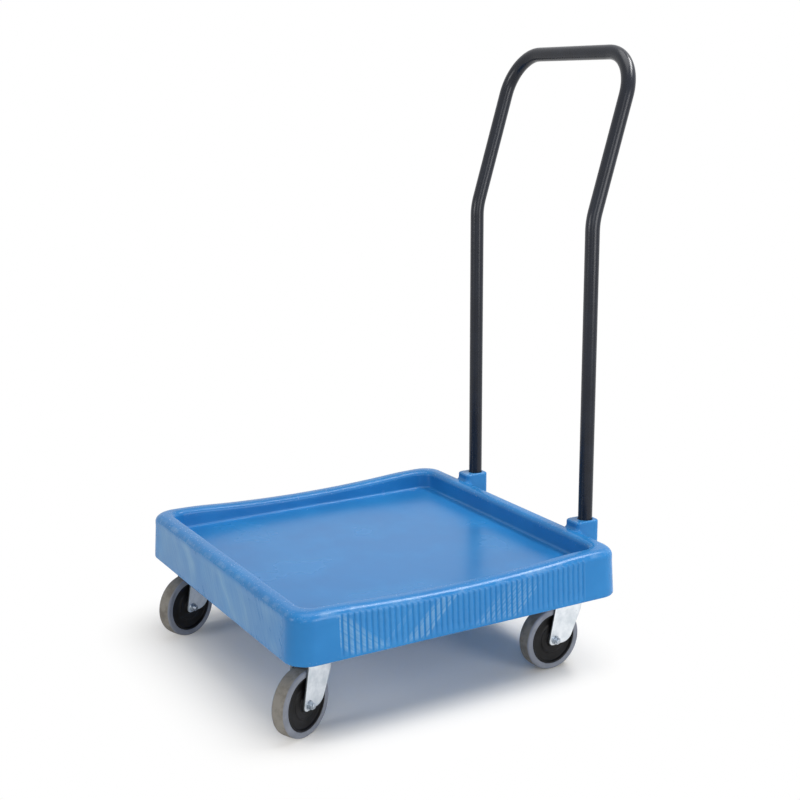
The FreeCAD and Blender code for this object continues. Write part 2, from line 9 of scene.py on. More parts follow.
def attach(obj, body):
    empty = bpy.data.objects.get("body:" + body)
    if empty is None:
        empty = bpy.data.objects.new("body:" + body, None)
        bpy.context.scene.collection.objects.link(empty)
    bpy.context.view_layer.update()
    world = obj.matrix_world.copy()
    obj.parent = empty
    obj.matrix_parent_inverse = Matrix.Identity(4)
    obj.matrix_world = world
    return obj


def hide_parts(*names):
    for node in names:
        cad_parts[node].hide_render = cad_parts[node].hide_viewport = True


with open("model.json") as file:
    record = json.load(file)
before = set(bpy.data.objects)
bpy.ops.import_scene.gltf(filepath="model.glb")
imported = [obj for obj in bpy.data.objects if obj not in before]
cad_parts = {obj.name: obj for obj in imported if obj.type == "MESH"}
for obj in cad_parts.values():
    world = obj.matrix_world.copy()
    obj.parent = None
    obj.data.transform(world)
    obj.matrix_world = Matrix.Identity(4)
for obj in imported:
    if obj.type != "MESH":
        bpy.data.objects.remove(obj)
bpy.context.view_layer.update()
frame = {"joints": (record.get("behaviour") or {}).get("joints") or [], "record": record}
scene = bpy.context.scene
mm = 0.001      # pieces are drawn in millimetres and degrees; floor, lamps and camera are in metres
joints = {joint["name"]: joint for joint in frame["joints"]}
midY = frame["record"]["mounts"][0]["pos_m"][1] / mm    # the deck's middle, from the record


# shared shape tools

def gridQuads(rows, columns, rowsClosed, columnsClosed):
    # corner numbers of every cell of a rows by columns grid
    row = np.arange(rows if rowsClosed else rows - 1)
    column = np.arange(columns if columnsClosed else columns - 1)
    r, c = np.meshgrid(row, column, indexing="ij")
    nextR, nextC = (r + 1) % rows, (c + 1) % columns
    cells = (r * columns + c, r * columns + nextC, nextR * columns + nextC, nextR * columns + c)
    return np.stack(cells, axis=-1).reshape(-1, 4)


def gridForm(points, rowsClosed=False, columnsClosed=True, capped=True, **marks):
    # a grid of points as a surface; its first and last rows become flat end faces where it is capped
    rows, columns = points.shape[:2]
    ring = np.arange(columns)
    caps = [ring[::-1], ring + (rows - 1) * columns] if capped else []
    flat = {key: np.broadcast_to(value, (rows, columns)).ravel() for key, value in marks.items()}
    quads = gridQuads(rows, columns, rowsClosed, columnsClosed)
    return {"points": points.reshape(-1, 3), "quads": quads, "caps": caps, "marks": flat}


def joined(*forms):
    # several surfaces as one, with their corner numbers carried on
    shift = np.cumsum([0] + [len(form["points"]) for form in forms[:-1]])
    keys = forms[0]["marks"]
    return {
        "points": np.concatenate([form["points"] for form in forms]),
        "quads": np.concatenate([form["quads"] + n for form, n in zip(forms, shift)]),
        "caps": [cap + n for form, n in zip(forms, shift) for cap in form["caps"]],
        "marks": {key: np.concatenate([form["marks"][key] for form in forms]) for key in keys},
    }


def outward(form):
    # the sum of the faces' triple products is six times the volume inside them; where it is below zero,
    # every face turns round
    points, quads = form["points"], form["quads"]
    a, b, c, d = (points[quads[:, k]] for k in range(4))
    volume = np.sum(a * (np.cross(b, c) + np.cross(c, d)))
    for cap in form["caps"]:
        ring = points[cap]
        volume += ring[0] @ np.cross(ring, np.roll(ring, -1, axis=0)).sum(axis=0)
    if volume < 0:
        form = {**form, "quads": quads[:, ::-1], "caps": [cap[::-1] for cap in form["caps"]]}
    return form


def rounded(corners, steps, closed=True):
    # an outline of (x, y, radius) corners; each corner becomes an arc that touches both of its edges
    straight, tiny, same = 0.999999, 1e-9, 1e-6
    table = np.array(corners, float)
    here, radius = table[:, :2], table[:, 2].copy()
    back = np.roll(here, 1, axis=0) - here
    ahead = np.roll(here, -1, axis=0) - here
    if not closed:
        radius[[0, -1]] = 0
    back /= np.linalg.norm(back, axis=1, keepdims=True)
    ahead /= np.linalg.norm(ahead, axis=1, keepdims=True)
    half = np.arccos(np.clip(np.sum(back * ahead, axis=1), -straight, straight)) / 2
    middle = back + ahead
    middle /= np.maximum(np.linalg.norm(middle, axis=1, keepdims=True), tiny)
    centre = here + middle * (radius / np.sin(half))[:, None]
    start = here + back * (radius / np.tan(half))[:, None] - centre
    end = here + ahead * (radius / np.tan(half))[:, None] - centre
    sweep = (math.pi - 2 * half)[:, None, None]
    share = np.linspace(0, 1, steps)[None, :, None]
    arcs = np.sin((1 - share) * sweep) * start[:, None] + np.sin(share * sweep) * end[:, None]
    line = (centre[:, None] + arcs / np.sin(sweep)).reshape(-1, 2)
    apart = np.linalg.norm(line - np.roll(line, 1, axis=0), axis=1) > same
    if not closed:
        apart[0] = True
    return line[apart]


def divided(line, longest):
    # the same open line with every run cut into equal pieces no longer than the given length
    runs = np.linalg.norm(np.diff(line, axis=0), axis=1)
    counts = np.maximum(np.ceil(runs / longest).astype(int), 1)
    first = np.repeat(np.arange(len(runs)), counts)
    share = (np.arange(counts.sum()) - np.repeat(np.cumsum(counts) - counts, counts)) / counts[first]
    return np.vstack([line[first] + share[:, None] * (line[first + 1] - line[first]), line[-1:]])


def roundAngles(segments):
    # equal steps of one full turn
    return np.arange(segments) * 2 * math.pi / segments


def turned(profile, segments, axis="x", looped=False, **marks):
    # a profile of (along the axis, away from it) carried round the axis
    angle = roundAngles(segments)
    along, away = profile[:, :1], profile[:, 1:]
    points = np.stack([along + 0 * angle, away * np.cos(angle), away * np.sin(angle)], axis=-1)
    if axis == "z":
        points = points[..., [1, 2, 0]]
    rows = {key: np.asarray(value)[:, None] for key, value in marks.items()}
    return gridForm(points, rowsClosed=looped, capped=not looped, **rows)


def smooth(low, high, value):
    # zero at low, one at high, and an even curve between
    share = np.clip((value - low) / (high - low), 0, 1)
    return share * share * (3 - 2 * share)


def moved(form, origin, cosine=1.0, sine=0.0):
    # a form turned about the upright by an angle and set at a point
    x, y, z = form["points"].T
    points = np.stack([x * cosine - y * sine, x * sine + y * cosine, z], axis=-1) + np.asarray(origin)
    return {**form, "points": points}


# folds are drawn sharp past the crease angle, and a bevel rounds those past the soft one
edges = {"crease": 32, "softAngle": 40, "softSteps": 2}


def addPiece(name, form, finish, body, slot, *nodes, sheet=0, cut=None, soft=0):
    # puts a form into a mesh, dresses it and seats it on its body in place of the nodes that it stands for;
    # a sheet gets its thickness here and a darker finish of its own on its cut edges, partly bare steel and
    # partly painted shade, and soft is a bevel's width
    form = outward(form)
    mesh = bpy.data.meshes.new(name)
    corners = np.concatenate([form["quads"].ravel(), *form["caps"]])
    sizes = np.array([4] * len(form["quads"]) + [len(cap) for cap in form["caps"]])
    mesh.vertices.add(len(form["points"]))
    mesh.loops.add(len(corners))
    mesh.polygons.add(len(sizes))
    mesh.vertices.foreach_set("co", (form["points"] * mm).astype(np.float32).ravel())
    mesh.loops.foreach_set("vertex_index", corners.astype(np.int32))
    mesh.polygons.foreach_set("loop_start", (np.cumsum(sizes) - sizes).astype(np.int32))
    mesh.update(calc_edges=True)
    mesh.validate()
    for key, value in form["marks"].items():
        mesh.attributes.new(key, "FLOAT", "POINT").data.foreach_set("value", value.astype(np.float32))
    mesh.shade_smooth()
    mesh.set_sharp_from_angle(angle=math.radians(edges["crease"]))
    mesh.materials.append(finish)
    piece = bpy.data.objects.new(name, mesh)
    scene.collection.objects.link(piece)
    if sheet:
        wall = piece.modifiers.new("sheet", "SOLIDIFY")
        wall.thickness, wall.offset, wall.use_even_offset = sheet * mm, 0, True
        mesh.materials.append(cut)
        wall.material_offset_rim = 1
    if soft:
        bevel = piece.modifiers.new("edges", "BEVEL")
        bevel.width, bevel.segments, bevel.limit_method = soft * mm, edges["softSteps"], "ANGLE"
        bevel.angle_limit = math.radians(edges["softAngle"])
    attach(piece, body)
    if nodes:
        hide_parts(*nodes)


# materials

class Signal:
    # one output of a node tree, with the sums that are written on it
    def __init__(self, nodes, socket):
        self.nodes = nodes
        self.socket = socket

    def maths(self, operation, first, second):
        return self.nodes.node("ShaderNodeMath", {"operation": operation}, {0: first, 1: second})

    def __add__(self, other):
        return self.maths("ADD", self, other)

    def __sub__(self, other):
        return self.maths("SUBTRACT", self, other)

    def __rsub__(self, other):
        return self.maths("SUBTRACT", other, self)

    def __mul__(self, other):
        return self.maths("MULTIPLY", self, other)

    __radd__ = __add__
    __rmul__ = __mul__


class Nodes:
    # a node tree and the one way in which its nodes are made
    def __init__(self, tree):
        self.tree = tree

    def node(self, kind, settings={}, inputs={}, output=0):
        made = self.tree.nodes.new(kind)
        for key, value in settings.items():
            setattr(made, key, value)
        for key, value in inputs.items():
            self.feed(made.inputs[key], value)
        return Signal(self, made.outputs[output])

    def feed(self, socket, value):
        if isinstance(value, Signal):
            self.tree.links.new(value.socket, socket)
        else:
            socket.default_value = value

    def between(self, value, low, high, start=0.0, end=1.0):
        # start at low, end at high, eased at both ends
        inputs = {"Value": value, "From Min": low, "From Max": high, "To Min": start, "To Max": end}
        return self.node("ShaderNodeMapRange", {"interpolation_type": "SMOOTHSTEP"}, inputs)

    def seen(self):
        # one for rays that the camera, a mirror or glass sends, zero for the rays that carry light around
        camera, glossy, through = (self.node("ShaderNodeLightPath", output="Is %s Ray" % kind)
                                   for kind in ("Camera", "Glossy", "Transmission"))
        return camera + glossy + through


class Finish(Nodes):
    # a material and the patterns that it is mixed from
    def __init__(self, name, **fixed):
        self.material = bpy.data.materials.new(name)
        self.material.use_nodes = True
        super().__init__(self.material.node_tree)
        self.shader = self.tree.nodes["Principled BSDF"]
        self.place = self.node("ShaderNodeTexCoord", output="Object")
        self.done(**fixed)

    def noise(self, scale, detail, roughness=0.55, place=None):
        # clouds, about as many to the metre as the scale says
        inputs = {"Vector": place or self.place, "Scale": scale, "Detail": detail, "Roughness": roughness}
        return self.node("ShaderNodeTexNoise", {}, inputs)

    def lines(self, across, scale, detail):
        # a noise of one number, which draws stripes square to the direction that the number grows in
        inputs = {"W": across, "Scale": scale, "Detail": detail}
        return self.node("ShaderNodeTexNoise", {"noise_dimensions": "1D"}, inputs)

    def along(self, way):
        # how far a place lies along a direction
        inputs = {0: self.place, 1: way}
        return self.node("ShaderNodeVectorMath", {"operation": "DOT_PRODUCT"}, inputs, "Value")

    def stretched(self, size):
        # object places divided by a size for each axis, so that a noise on them draws streaks
        inputs = {"Vector": self.place, "Scale": size}
        return self.node("ShaderNodeMapping", {"vector_type": "TEXTURE"}, inputs)

    def mark(self, name):
        # a value that the piece's mesh carries at each of its points
        return self.node("ShaderNodeAttribute", {"attribute_name": name}, output="Fac")

    def blend(self, share, first, second):
        # the first colour where the share is zero, the second where it is one
        return self.node("ShaderNodeMix", {"data_type": "RGBA"}, {0: share, 6: first, 7: second}, output=2)

    def bump(self, height, depth, under=None):
        # a relief as deep as the depth in millimetres, on top of another one where there is one
        inputs = {"Height": height, "Strength": 1.0, "Distance": depth * mm}
        if under:
            inputs["Normal"] = under
        return self.node("ShaderNodeBump", {}, inputs)

    def done(self, **sockets):
        # sets or links the shader's sockets
        for key, value in sockets.items():
            self.feed(self.shader.inputs[key.replace("_", " ")], value)
        return self.material


def paint(red, green, blue):
    # a screen colour of 0 to 255 as the linear colour that nodes take, by the usual screen curve
    screen = np.array([red, green, blue]) / 255
    linear = np.where(screen > 0.04045, ((screen + 0.055) / 1.055) ** 2.4, screen / 12.92)
    return (*linear.tolist(), 1.0)


def bluePolyethylene():
    look = {
        "body": paint(42, 126, 190), "deep": paint(37, 118, 182), "smear": paint(150, 184, 205),
        # nick colours the nicks and also the scuffs, whose pale line on the crown is partly a painted
        # highlight
        "pale": paint(140, 186, 226), "nick": paint(176, 206, 230),
        "cloud": {"scale": 9.0, "detail": 3.0}, "cloudRange": (0.35, 0.7),
        "level": 0.165, "across": (0.85, 0.85, 0), "shift": 0.81,
        "wave": {"scale": 18.0, "detail": 2.0}, "waveReach": 0.012,
        # how far each kind of smear leans, how close its bands lie and where they start and are full
        "smears": (
            {"lean": 0.3, "scale": 22.0, "bandRange": (0.4, 0.7), "on": "rub", "share": 0.5},
            {"lean": 1.0, "scale": 17.0, "bandRange": (0.42, 0.7), "on": "rub", "share": 0.85},
            {"lean": 1.1, "scale": 9.0, "bandRange": (0.56, 0.61), "on": "crest", "share": 0.6},
            {"lean": -0.9, "scale": 7.0, "bandRange": (0.56, 0.61), "on": "crest", "share": 0.6},
        ),
        "bandDetail": 2.0, "fine": {"scale": 260.0, "detail": 5.0}, "fineRange": (0.3, 0.65, 0.25, 1.0),
        "patchScale": 0.5, "patchDetail": 2.0, "patchRange": (0.4, 0.58),
        "hairLean": 0.5, "hair": {"scale": 320.0, "detail": 6.0}, "hairRange": (0.35, 0.65, 0.4, 1.4),
        "veil": {"scale": 6.0, "detail": 4.0, "roughness": 0.6}, "veilRange": (0.34, 0.6, 0.3, 1.0),
        "scuff": {"scale": 30.0, "detail": 5.0, "roughness": 0.65}, "scuffRange": (0.44, 0.66),
        "nicks": {"scale": 330.0, "detail": 2.0}, "nickRange": (0.64, 0.72),
        # the crest share gives the reeds' crests a faint paler blue: partly rubbing, partly painted shading
        # that leaves the valleys darker
        "tintBy": {"crest": 0.06, "veil": 0.24, "smears": 0.58, "scuff": 0.2, "nick": 0.3},
        "rough": 0.2, "roughBy": {"cloud": 0.12, "veil": 0.1, "smears": 0.12, "nick": 0.1},
        "grain": {"scale": 520.0, "detail": 2.0}, "grainDepth": 0.04,
        "ripple": {"scale": 120.0, "detail": 2.0}, "rippleDepth": 0.2,
    }
    f = Finish("bluePolyethylene", IOR=1.5, Specular_IOR_Level=0.24)
    marks = {name: f.mark(name) for name in ("rub", "crest", "scuff", "edge")}
    cloud = f.noise(**look["cloud"])
    # a thin grey veil on the front and rear faces, partly scuffed haze and partly painted reflection of the
    # white floor, with pale
    # smears in it: soft bands of fine lines, some nearly upright and some slanting, and on the reeds sharper
    # ones that lean both ways
    upright = f.along((0, 0, 1)) - look["level"]
    wave = look["waveReach"] * f.noise(**look["wave"])
    across = f.along(look["across"]) + (wave + look["shift"])
    clear = 1.0
    for smear in look["smears"]:
        way = across + upright * smear["lean"]
        band = f.between(f.lines(way, smear["scale"], look["bandDetail"]), *smear["bandRange"])
        fine = f.between(f.lines(way, **look["fine"]), *look["fineRange"])
        patch = f.noise(smear["scale"] * look["patchScale"], look["patchDetail"])
        share = smear["share"] * marks[smear["on"]]
        clear = clear * (1 - band * fine * f.between(patch, *look["patchRange"]) * share)
    hairs = f.between(f.lines(across + upright * look["hairLean"], **look["hair"]), *look["hairRange"])
    # the veil pales the front and rear faces: partly scuffed haze, partly painted sheen
    veil = marks["rub"] * f.between(f.noise(**look["veil"]), *look["veilRange"]) * hairs
    # scuffs along the crown's outer edge: a pale broken line, partly scuffing and partly painted highlight;
    # nicks on the crown and the foot
    scuff = marks["scuff"] * f.between(f.noise(**look["scuff"]), *look["scuffRange"])
    nick = marks["edge"] * f.between(f.noise(**look["nicks"]), *look["nickRange"])
    # wear marks, with a painted highlight in the scuffs, painted sheen in the veil and painted shading in
    # the crest share
    wear = {"cloud": cloud, "crest": marks["crest"], "veil": veil, "smears": 1 - clear, "scuff": scuff,
            "nick": nick}
    tones = {"crest": "pale", "veil": "smear", "smears": "smear", "scuff": "nick", "nick": "nick"}
    tint = f.blend(f.between(cloud, *look["cloudRange"]), look["deep"], look["body"])
    for name, share in look["tintBy"].items():
        tint = f.blend(share * wear[name], tint, look[tones[name]])
    rough = look["rough"]
    for name, share in look["roughBy"].items():
        rough = rough + share * wear[name]
    grain = f.bump(f.noise(**look["grain"]), look["grainDepth"])
    ripple = f.noise(**look["ripple"]) * marks["edge"]
    return f.done(Base_Color=tint, Roughness=rough, Normal=f.bump(ripple, look["rippleDepth"], grain))


def cloudyFinish(name, look, **fixed):
    # two tones mixed by a cloudy noise, spots or streaks of a third tone where the look has them, and a fine
    # grain; the clouds and the spots change the roughness too
    f = Finish(name, **fixed)
    cloud = f.noise(**look["cloud"])
    tint = f.blend(f.between(cloud, *look["cloudRange"]), look["first"], look["second"])
    rough = look["rough"] + look["cloudRough"] * cloud
    if "spots" in look:
        place = f.stretched(look["streak"]) if "streak" in look else None
        spot = f.between(f.noise(**look["spots"], place=place), *look["spotRange"])
        tint = f.blend(spot * look["spotShare"], tint, look["spot"])
        rough = rough + look["spotRough"] * spot
    grain = f.bump(f.noise(**look["grain"]), look["grainDepth"])
    return f.done(Base_Color=tint, Roughness=rough, Normal=grain)


blackCoat = {
    "first": paint(14, 19, 30), "second": paint(20, 26, 38), "spot": paint(62, 66, 74),
    "cloud": {"scale": 24.0, "detail": 4.0}, "cloudRange": (0.3, 0.75), "rough": 0.24, "cloudRough": 0.06,
    "spots": {"scale": 1.0, "detail": 3.0, "roughness": 0.6}, "streak": (0.01, 0.01, 0.07),
    "spotRange": (0.66, 0.8), "spotShare": 0.3, "spotRough": 0.15,
    "grain": {"scale": 300.0, "detail": 2.0}, "grainDepth": 0.002,
}
zincPlate = {
    "first": paint(204, 211, 217), "second": paint(232, 236, 240), "spot": paint(140, 147, 148),
    "cloud": {"scale": 48.0, "detail": 4.0, "roughness": 0.6}, "cloudRange": (0.3, 0.7),
    "rough": 0.36, "cloudRough": 0.14,
    "spots": {"scale": 150.0, "detail": 3.0}, "spotRange": (0.69, 0.78),
    "spotShare": 0.55, "spotRough": 0.15,
    "grain": {"scale": 500.0, "detail": 2.0}, "grainDepth": 0.02,
}
# the fork sheet's cut edges: darker steel, partly bare cut steel and partly painted shade
cutSteel = {
    "first": paint(84, 89, 93), "second": paint(112, 118, 122),
    "cloud": {"scale": 110.0, "detail": 3.0}, "cloudRange": (0.35, 0.65), "rough": 0.5, "cloudRough": 0.15,
    "grain": {"scale": 700.0, "detail": 2.0}, "grainDepth": 0.02,
}
turnedSteel = {
    "first": paint(146, 155, 164), "second": paint(190, 198, 206),
    "cloud": {"scale": 130.0, "detail": 4.0, "roughness": 0.6}, "cloudRange": (0.35, 0.65),
    "rough": 0.2, "cloudRough": 0.16,
    "grain": {"scale": 900.0, "detail": 2.0}, "grainDepth": 0.015,
}
blackPolypropylene = {
    "first": paint(14, 14, 15), "second": paint(27, 27, 30),
    "cloud": {"scale": 38.0, "detail": 4.0}, "cloudRange": (0.4, 0.75), "rough": 0.3, "cloudRough": 0.2,
    "grain": {"scale": 650.0, "detail": 2.0}, "grainDepth": 0.05,
}


def greyRubber():
    look = {
        "side": paint(131, 136, 147), "sideDark": paint(117, 122, 133), "run": paint(134, 131, 125),
        "grime": paint(112, 108, 102), "chalk": paint(150, 147, 141),
        "cloud": {"scale": 42.0, "detail": 4.0}, "cloudRange": (0.3, 0.7),
        "wear": {"scale": 60.0, "detail": 4.0, "roughness": 0.6}, "wearRange": (0.34, 0.6),
        "dust": {"scale": 260.0, "detail": 4.0}, "dustRange": (0.6, 0.75), "dustShare": 0.5,
        "ragged": 0.25, "runRange": (0.4, 0.62), "rough": 0.62, "runRough": 0.2,
        "grain": {"scale": 320.0, "detail": 3.0}, "grainDepth": 0.15,
    }
    f = Finish("greyRubber", IOR=1.5, Specular_IOR_Level=0.3)
    cloud = f.noise(**look["cloud"])
    side = f.blend(f.between(cloud, *look["cloudRange"]), look["sideDark"], look["side"])
    run = f.blend(f.between(f.noise(**look["wear"]), *look["wearRange"]), look["grime"], look["run"])
    dust = f.between(f.noise(**look["dust"]), *look["dustRange"])
    run = f.blend(dust * look["dustShare"], run, look["chalk"])
    # the running face's tones end on the shoulders along a ragged line
    share = f.between(f.mark("running") + look["ragged"] * (cloud - 0.5), *look["runRange"])
    rough = look["rough"] + look["runRough"] * share
    grain = f.bump(f.noise(**look["grain"]), look["grainDepth"])
    return f.done(Base_Color=f.blend(share, side, run), Roughness=rough, Normal=grain)


blueFinish = bluePolyethylene()
coatFinish = cloudyFinish("blackCoat", blackCoat, IOR=1.5, Specular_IOR_Level=0.34)
zincFinish = cloudyFinish("zincPlate", zincPlate, Metallic=0.8)
cutShadeFinish = cloudyFinish("cutSteel", cutSteel, Metallic=0.5)
steelFinish = cloudyFinish("turnedSteel", turnedSteel, Metallic=1.0)
coreFinish = cloudyFinish("blackPolypropylene", blackPolypropylene, IOR=1.49, Specular_IOR_Level=0.2)
rubberFinish = greyRubber()
print("finishes mixed")


# moulded platform

platform = {
    "half": 295.0, "topHalf": 291.48, "mouthHalf": 261.48, "core": 258.48, "mouthCore": 237.48,
    "under": 130.0, "band": 186.0, "top": 208.0, "deck": 175.0, "footRound": 3.0, "bandRound": 60.0,
    "crownRound": 13.5, "lipRound": 9.0, "deckRound": 4.5, "deckEdge": 246.0, "soleEdge": 276.0,
    "dip": 8.5, "dipHalf": 245.0, "dipBlend": 0.25,
    "valleys": 45, "pitch": 9.82, "reedDepth": 1.5, "reedFoot": 133.5, "footFade": 4.0, "reedCurve": 3.0,
    "plainEnd": 25.0, "facing": 0.999,
    "reedSteps": 12, "plainSteps": 8, "shortSteps": 62, "cornerSteps": 24, "arcSteps": 9, "longest": 7.0,
    # where wear and the painted highlight, sheen and shading start and are full: below the crown's top,
    # above the sole, or as a valley's depth
    "nickTop": (16.2, 1.0), "nickFoot": (6.0, 0.5), "scuffLow": (9.0, 6.0), "scuffHigh": (0.5, 3.0),
    "rubFoot": (0.5, 7.0), "rubTop": (8.0, 15.0), "crest": (0.5, 0.1),
}


def rimDip(y, p):
    # the long rims sag between their ends: a wide arc in the middle and a tighter one at each end
    whole = (p["dipHalf"] ** 2 + p["dip"] ** 2) / (2 * p["dip"])
    endArc = whole * p["dipBlend"]
    midArc = whole - endArc
    join = midArc * p["dipHalf"] / whole
    away = np.abs(y)
    sag = p["dip"] - midArc + np.sqrt(midArc ** 2 - np.minimum(away, join) ** 2)
    rise = endArc - np.sqrt(endArc ** 2 - np.clip(p["dipHalf"] - away, 0, p["dipHalf"] - join) ** 2)
    return np.where(away < join, sag, rise)


def reedRow(p):
    # places along a long side: evenly spread over the reeds, then the plain ends
    reach = p["valleys"] / 2 * p["pitch"]
    inner = np.linspace(-reach, reach, p["valleys"] * p["reedSteps"] + 1)
    plain = np.linspace(reach, p["core"], p["plainSteps"])[1:]
    return np.concatenate([-plain[::-1], inner, plain]) / p["core"]


def rimWay(p):
    # one turn round the platform: four straight sides and four corners, each place with its outward way
    long, short = reedRow(p), np.linspace(-1, 1, p["shortSteps"])
    bend = np.radians(np.linspace(0, 90, p["cornerSteps"])[1:-1])
    places, ways = [], []
    for quarter in range(4):
        turn = quarter * math.pi / 2
        spin = np.array([[math.cos(turn), math.sin(turn)], [-math.sin(turn), math.cos(turn)]])
        run = long if quarter % 2 == 0 else short
        side = np.stack([np.ones_like(run), run], axis=-1)
        corner = np.ones((len(bend), 2))
        places += [side @ spin, corner @ spin]
        ways += [np.stack([np.ones_like(run), 0 * run], axis=-1) @ spin,
                 np.stack([np.cos(bend), np.sin(bend)], axis=-1) @ spin]
    return np.concatenate(places), np.concatenate(ways)


def platformForm(p):
    # the section runs from the sole over the skirt, rim and lip to the deck; each row of the grid is that
    # section's distance and height carried round the rim: core rectangle plus outward way times radius
    section = rounded((
        (p["soleEdge"], p["under"], 0), (p["half"], p["under"], p["footRound"]),
        (p["topHalf"], p["band"], p["bandRound"]), (p["topHalf"], p["top"], p["crownRound"]),
        (p["mouthHalf"], p["top"], p["lipRound"]), (p["mouthHalf"], p["deck"], p["deckRound"]),
        (p["deckEdge"], p["deck"], 0)), p["arcSteps"], closed=False)
    away, height = divided(section, p["longest"]).T
    core = np.interp(away, [p["mouthHalf"], p["topHalf"]], [p["mouthCore"], p["core"]])
    place, way = rimWay(p)
    flat = core[:, None, None] * place + (away - core)[:, None, None] * way
    x, y = flat[..., 0], flat[..., 1]
    z = np.broadcast_to(height[:, None], x.shape).copy()
    # valleys between the reeds: a raised cosine of the way from the nearest valley, narrowed by a power
    ends = (p["valleys"] - 1) / 2 * p["pitch"]
    nearest = np.clip(np.round(y / p["pitch"]) * p["pitch"], -ends, ends)
    apart = np.clip(np.abs(y - nearest) / p["pitch"], 0, 0.5)
    valley = (0.5 + 0.5 * np.cos(2 * math.pi * apart)) ** p["reedCurve"]
    inside = away < (p["topHalf"] + p["mouthHalf"]) / 2
    sideways, endways = np.abs(way.T) > p["facing"]
    reeded = ~inside[:, None] * sideways * smooth(p["reedFoot"], p["reedFoot"] + p["footFade"], z)
    # upright valleys run out where the crown's round falls back behind their floor
    fallen = np.where(height > p["band"], np.maximum(p["topHalf"] - away, 0), 0)[:, None]
    x = x - np.sign(x) * np.maximum(p["reedDepth"] * valley - fallen, 0) * reeded
    # the dip takes the crown down whole and fades out below it, outside and inside
    outerShare = np.clip((height - p["band"]) / (p["top"] - p["crownRound"] - p["band"]), 0, 1)
    low = p["deck"] + p["deckRound"]
    innerShare = np.clip((height - low) / (p["top"] - p["lipRound"] - low), 0, 1)
    z -= np.where(inside, innerShare, outerShare)[:, None] * rimDip(y, p)
    # nicks gather on the crown and along the foot, scuffs with a painted highlight on the crown's outer
    # edge, rubbing with painted sheen on the front and rear faces, and rubbing with painted shading on the
    # reeds' crests
    below, above = p["top"] - height, height - p["under"]
    edge = np.maximum(smooth(*p["nickTop"], below), smooth(*p["nickFoot"], above))
    scuff = smooth(*p["scuffLow"], below) * smooth(*p["scuffHigh"], below) * ~inside
    skirt = smooth(*p["rubFoot"], above) * smooth(*p["rubTop"], below) * ~inside
    rub = skirt[:, None] * endways * smooth(p["core"], p["core"] - p["plainEnd"], np.abs(x))
    reach = smooth(p["reedDepth"], 0, fallen)
    crest = np.where(np.abs(y) < ends + p["pitch"] / 2, reeded * reach * smooth(*p["crest"], valley), 0)
    marks = {"edge": edge[:, None], "scuff": scuff[:, None], "rub": rub, "crest": crest}
    return gridForm(np.stack([x, y + midY, z], axis=-1), **marks)


addPiece("platform_moulding", platformForm(platform), blueFinish, "dolly", "blue_polyethylene", "platform")
print("platform moulded")

socket = {
    "spacing": 338.0, "wide": 35.3, "front": 284.0, "rear": 331.15, "top": 221.0, "cornerRound": 8.0,
    "topRound": 3.4, "foot": 130.6, "footRound": 6.5, "tubeY": 313.5, "bore": 12.35, "boreEdge": 1.5,
    "boreDepth": 26.0, "cornerSteps": 10, "longest": 1.5, "arcSteps": 8, "acrossTop": (0.33, 0.66, 0.95),
    # the scuff share puts the pale scuff line, partly a painted highlight, on the socket's top edge too
    "coarseTop": 188.0, "coarseRows": 8, "fineFoot": 189.0, "fineRows": 30, "scuffShare": 0.4,
    "nickTop": (4.0, 1.0),      # wear starts and is full so far below the top
}


def overRim(y, z, p):
    # distance from the platform's rear face and crown, which meet in the crown's round
    face = np.interp(z, [p["under"], p["band"]], [p["half"], p["topHalf"]])
    past = y - face + p["crownRound"]
    above = z - p["top"] + p["crownRound"]
    corner = np.hypot(np.maximum(past, 0), np.maximum(above, 0))
    return corner + np.minimum(np.maximum(past, above), 0) - p["crownRound"]


def socketForm(s, p):
    # an upright wall round a boxy outline that spreads by a quarter circle near the platform, is drawn in
    # over the top edge, crosses to the bore and goes down inside it
    half = s["wide"] / 2
    box = ((half, s["front"]), (half, s["rear"]), (-half, s["rear"]), (-half, s["front"]))
    outline = rounded([(*corner, s["cornerRound"]) for corner in box], s["cornerSteps"])
    outline = divided(np.vstack([outline, outline[:1]]), s["longest"])[:-1]
    centre = np.array([0, s["tubeY"]])
    reach = np.linalg.norm(outline - centre, axis=1)
    way = (outline - centre) / reach[:, None]
    along = np.roll(outline, -1, axis=0) - np.roll(outline, 1, axis=0)
    square = along[:, ::-1] * [1, -1] / np.linalg.norm(along, axis=1, keepdims=True)
    angle = np.linspace(0, math.pi / 2, s["arcSteps"])[:, None]
    shoulder = s["top"] - s["topRound"]
    wallZ = np.concatenate([np.linspace(s["foot"], s["coarseTop"], s["coarseRows"]),
                            np.linspace(s["fineFoot"], shoulder, s["fineRows"])])[:, None]
    near = np.clip(1 - overRim(outline[:, 1], wallZ, p) / s["footRound"], 0, 1)
    spread = s["footRound"] * (1 - np.sqrt(1 - near ** 2))
    drawn = s["topRound"] * (1 - np.cos(angle))
    inner = reach - s["topRound"]
    mouth = s["bore"] + s["boreEdge"]
    across = np.array(s["acrossTop"])[:, None]
    rounds = mouth - s["boreEdge"] * np.sin(angle)
    rows = (
        (outline + spread[..., None] * square, wallZ),
        (centre + (reach - drawn)[..., None] * way, shoulder + s["topRound"] * np.sin(angle)),
        (centre + (inner + across * (mouth - inner))[..., None] * way, s["top"] + 0 * across),
        (centre + (rounds + 0 * reach)[..., None] * way, s["top"] - s["boreEdge"] * (1 - np.cos(angle))),
        (centre + s["bore"] * way[None], np.array([[s["top"] - s["boreDepth"]]])),
    )
    flat = np.concatenate([places for places, z in rows])
    height = np.concatenate([np.broadcast_to(z, places.shape[:2]) for places, z in rows])
    edge = smooth(*s["nickTop"], s["top"] - height)
    points = np.concatenate([flat, height[..., None]], axis=-1)
    return gridForm(points, edge=edge, scuff=s["scuffShare"] * edge, rub=0.0, crest=0.0)


